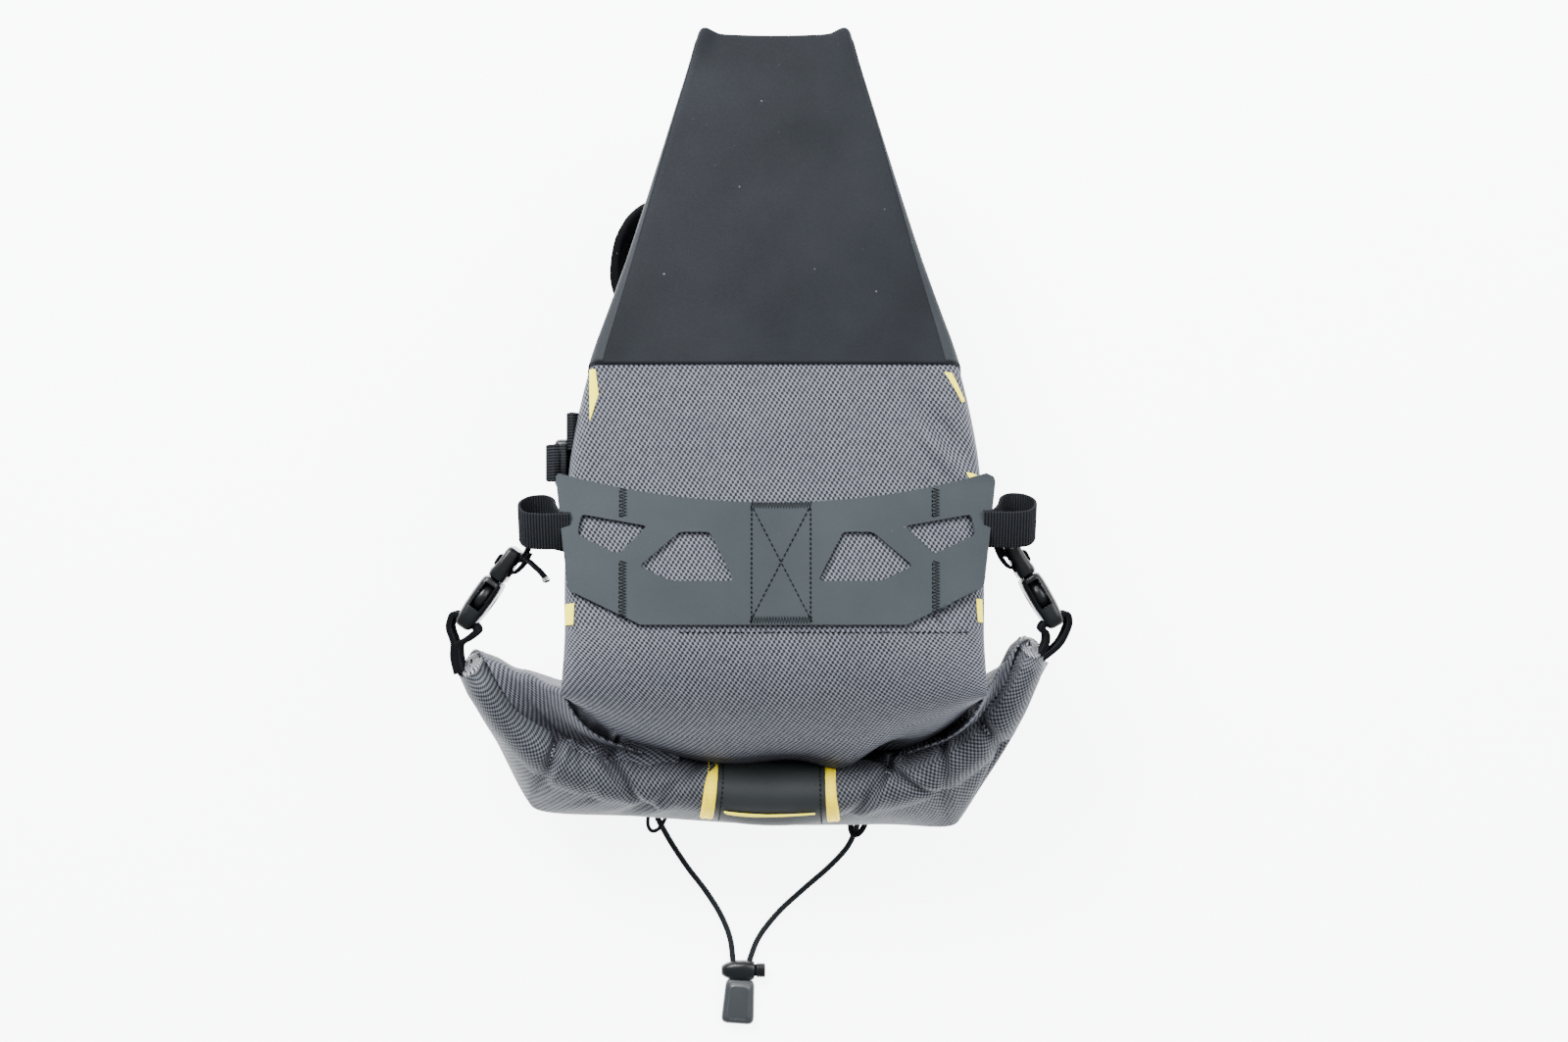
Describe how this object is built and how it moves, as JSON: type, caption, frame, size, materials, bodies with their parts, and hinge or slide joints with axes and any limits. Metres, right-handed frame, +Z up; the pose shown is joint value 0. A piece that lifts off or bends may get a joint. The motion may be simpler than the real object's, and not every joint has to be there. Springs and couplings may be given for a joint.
{
  "type": "saddle bag",
  "caption": "Tapered bicycle saddle bag with a rolled rear closure, side-release buckles, a perforated strap wing and a shock cord with a lock.",
  "frame": {"origin": "middle of the bounding box on the surface that the bag rests on, free cord left out", "axes": "+Z up, the bag resting on its top panel with its underside up; +Y towards the nose that meets the seatpost; +X to the right seen from above with the nose away"},
  "size_m": [0.3347, 0.5446, 0.1495],
  "materials": {
    "woven_fabric": "two-tone grey weave with a light coating",
    "coated_fabric": "matt charcoal coated fabric",
    "wing_laminate": "matt laser-cut laminate",
    "lining_fabric": "smooth grey-green coated back of the fabric",
    "webbing": "ribbed black webbing",
    "hook_and_loop": "fuzzy black hook-and-loop",
    "grip_rubber": "matt rubberised grip",
    "shock_cord": "braided sleeve",
    "buckle_plastic": "satin moulded plastic",
    "grey_plastic": "satin moulded plastic",
    "yellow_trim": "matt yellow trim",
    "stiffener_sheet": "translucent plastic sheet",
    "spring_steel": "drawn wire"
  },
  "bodies": {
    "root": {"closure_roll": "woven_fabric", "closure_stiffener": "stiffener_sheet", "closure_wrap": "lining_fabric", "cord_anchor_tab_left": "webbing", "cord_anchor_tab_right": "webbing", "cord_end_lower": "grey_plastic", "cord_end_upper": "grey_plastic", "cord_lock_body": "buckle_plastic", "cord_lock_spring": "spring_steel", "cord_loop_left": "webbing", "cord_loop_right": "webbing", "cord_strand_left": "shock_cord", "cord_strand_right": "shock_cord", "grip_edge_left": "yellow_trim", "grip_edge_right": "yellow_trim", "grip_patch": "coated_fabric", "laced_cord": "shock_cord", "lacing_strip_left": "webbing", "lacing_strip_right": "webbing", "left_closure_buckle_housing": "buckle_plastic", "left_closure_strap": "webbing", "left_closure_tab": "webbing", "left_rail_buckle_housing": "buckle_plastic", "left_rail_strap": "webbing", "left_rail_tab": "webbing", "nose_panel": "coated_fabric", "rear_panel": "woven_fabric", "right_closure_buckle_housing": "buckle_plastic", "right_closure_strap": "webbing", "right_closure_tab": "webbing", "right_rail_buckle_housing": "buckle_plastic", "right_rail_strap": "webbing", "right_rail_tab": "webbing", "seatpost_grip_pad": "grip_rubber", "seatpost_strap_base": "hook_and_loop", "side_panel_left": "woven_fabric", "side_panel_right": "woven_fabric", "tail_loop_left": "webbing", "tail_loop_right": "webbing", "top_panel": "woven_fabric", "underside_panel": "woven_fabric", "underside_reinforcement": "coated_fabric", "underside_stiffener": "stiffener_sheet", "wing": "wing_laminate"},
    "left_closure_plug": {"left_closure_buckle_plug": "buckle_plastic"},
    "left_closure_prong_a_body": {"left_closure_prong_a": "buckle_plastic"},
    "left_closure_prong_b_body": {"left_closure_prong_b": "buckle_plastic"},
    "right_closure_plug": {"right_closure_buckle_plug": "buckle_plastic"},
    "right_closure_prong_a_body": {"right_closure_prong_a": "buckle_plastic"},
    "right_closure_prong_b_body": {"right_closure_prong_b": "buckle_plastic"},
    "left_rail_plug": {"left_rail_buckle_plug": "buckle_plastic"},
    "left_rail_prong_a_body": {"left_rail_prong_a": "buckle_plastic"},
    "left_rail_prong_b_body": {"left_rail_prong_b": "buckle_plastic"},
    "right_rail_plug": {"right_rail_buckle_plug": "buckle_plastic"},
    "right_rail_prong_a_body": {"right_rail_prong_a": "buckle_plastic"},
    "right_rail_prong_b_body": {"right_rail_prong_b": "buckle_plastic"},
    "hook_flap": {"seatpost_strap_hook_flap": "hook_and_loop"},
    "loop_flap": {"seatpost_strap_loop_flap": "hook_and_loop"},
    "lock_button": {"cord_lock_button": "buckle_plastic"}
  },
  "joints": [
    {"name": "left_closure_plug_slide", "type": "slide", "parent": "root", "child": "left_closure_plug", "axis": [0.576, 0.8175, 0], "range_m": [0, 0.02], "deforming": ["left_closure_strap"]},
    {"name": "left_closure_prong_a_flex", "type": "hinge", "parent": "left_closure_plug", "child": "left_closure_prong_a_body", "pos_m": [-0.14002, -0.0744, 0.1029], "axis": [0.8175, -0.576, 0], "range_deg": [0, 8.2]},
    {"name": "left_closure_prong_b_flex", "type": "hinge", "parent": "left_closure_plug", "child": "left_closure_prong_b_body", "pos_m": [-0.14002, -0.0744, 0.0911], "axis": [0.8175, -0.576, 0], "range_deg": [-8.2, 0]},
    {"name": "right_closure_plug_slide", "type": "slide", "parent": "root", "child": "right_closure_plug", "axis": [-0.5006, 0.8657, 0], "range_m": [0, 0.02], "deforming": ["right_closure_strap"]},
    {"name": "right_closure_prong_a_flex", "type": "hinge", "parent": "right_closure_plug", "child": "right_closure_prong_a_body", "pos_m": [0.14293, -0.07242, 0.1029], "axis": [0.8657, 0.5006, 0], "range_deg": [0, 8.2]},
    {"name": "right_closure_prong_b_flex", "type": "hinge", "parent": "right_closure_plug", "child": "right_closure_prong_b_body", "pos_m": [0.14293, -0.07242, 0.0911], "axis": [0.8657, 0.5006, 0], "range_deg": [-8.2, 0]},
    {"name": "left_rail_plug_slide", "type": "slide", "parent": "root", "child": "left_rail_plug", "axis": [0, 0, -1], "range_m": [0, 0.02], "deforming": ["left_rail_strap"]},
    {"name": "left_rail_prong_a_flex", "type": "hinge", "parent": "left_rail_plug", "child": "left_rail_prong_a_body", "pos_m": [-0.1032, -0.0189, 0.0813], "axis": [-1, 0, 0], "range_deg": [0, 8.2]},
    {"name": "left_rail_prong_b_flex", "type": "hinge", "parent": "left_rail_plug", "child": "left_rail_prong_b_body", "pos_m": [-0.1032, -0.0071, 0.0813], "axis": [-1, 0, 0], "range_deg": [-8.2, 0]},
    {"name": "right_rail_plug_slide", "type": "slide", "parent": "root", "child": "right_rail_plug", "axis": [0.2444, -0.9697, 0], "range_m": [0, 0.02], "deforming": ["right_rail_strap"]},
    {"name": "right_rail_prong_a_flex", "type": "hinge", "parent": "right_rail_plug", "child": "right_rail_prong_a_body", "pos_m": [0.1053, -0.01177, 0.0409], "axis": [-0.9697, -0.2444, 0], "range_deg": [0, 8.2]},
    {"name": "right_rail_prong_b_flex", "type": "hinge", "parent": "right_rail_plug", "child": "right_rail_prong_b_body", "pos_m": [0.1053, -0.01177, 0.0291], "axis": [-0.9697, -0.2444, 0], "range_deg": [-8.2, 0]},
    {"name": "hook_flap_fold", "type": "hinge", "parent": "root", "child": "hook_flap", "pos_m": [-0.036, 0.10843, 0.0233], "axis": [0, -0.756, -0.6546], "range_deg": [0, 80]},
    {"name": "loop_flap_fold", "type": "hinge", "parent": "root", "child": "loop_flap", "pos_m": [0.0526, 0.10843, 0.0233], "axis": [0, 0.756, 0.6546], "range_deg": [0, 80]},
    {"name": "lock_button_press", "type": "slide", "parent": "root", "child": "lock_button", "axis": [-1, 0, 0], "range_m": [0, 0.0035], "stiffness_N_per_m": 300, "springref_m": -0.002, "deforming": ["cord_lock_spring"]}
  ],
  "couplings": [
    {"joint": "left_closure_prong_a_flex", "follows": "left_closure_plug_slide", "rad_per_m": 6.9813},
    {"joint": "left_closure_prong_b_flex", "follows": "left_closure_plug_slide", "rad_per_m": -6.9813},
    {"joint": "right_closure_prong_a_flex", "follows": "right_closure_plug_slide", "rad_per_m": 6.9813},
    {"joint": "right_closure_prong_b_flex", "follows": "right_closure_plug_slide", "rad_per_m": -6.9813},
    {"joint": "left_rail_prong_a_flex", "follows": "left_rail_plug_slide", "rad_per_m": 6.9813},
    {"joint": "left_rail_prong_b_flex", "follows": "left_rail_plug_slide", "rad_per_m": -6.9813},
    {"joint": "right_rail_prong_a_flex", "follows": "right_rail_plug_slide", "rad_per_m": 6.9813},
    {"joint": "right_rail_prong_b_flex", "follows": "right_rail_plug_slide", "rad_per_m": -6.9813}
  ]
}
